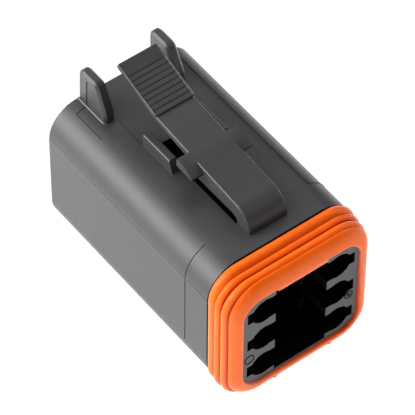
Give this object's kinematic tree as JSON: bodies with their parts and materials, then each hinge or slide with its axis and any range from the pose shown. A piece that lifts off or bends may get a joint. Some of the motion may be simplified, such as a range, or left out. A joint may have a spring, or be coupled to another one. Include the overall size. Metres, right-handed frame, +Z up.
{
  "type": "sealed automotive connector plug",
  "caption": "Rectangular sealed plug housing with latch arm, guard ears, orange mating seal, contact cavities and a retained wire seal.",
  "frame": {"origin": "middle of the overall box at its bottom, level with the lowest point of the seal, 0.2 mm under the housing's own bottom face", "axes": "-Y out of the mating face, +Y out of the wire end, +Z up through the latch, +X to the right seen from the mating face"},
  "size_m": [0.022, 0.0368, 0.0281],
  "materials": {
    "housing_plastic": "moulded glass-filled nylon, fine satin",
    "seal_rubber": "moulded silicone, semi-gloss",
    "retainer_plastic": "moulded plastic, satin"
  },
  "bodies": {
    "housing": {"plug_housing": "housing_plastic", "interface_seal": "seal_rubber", "wire_seal": "seal_rubber", "seal_retainer": "retainer_plastic"},
    "latch": {"latch_arm": "housing_plastic"}
  },
  "joints": [
    {"name": "latch_press", "type": "hinge", "parent": "housing", "child": "latch", "pos_m": [0, -0.00907, 0.0209], "axis": [1, 0, 0], "range_deg": [-6, 0], "stiffness_Nm_per_rad": 1.5}
  ]
}
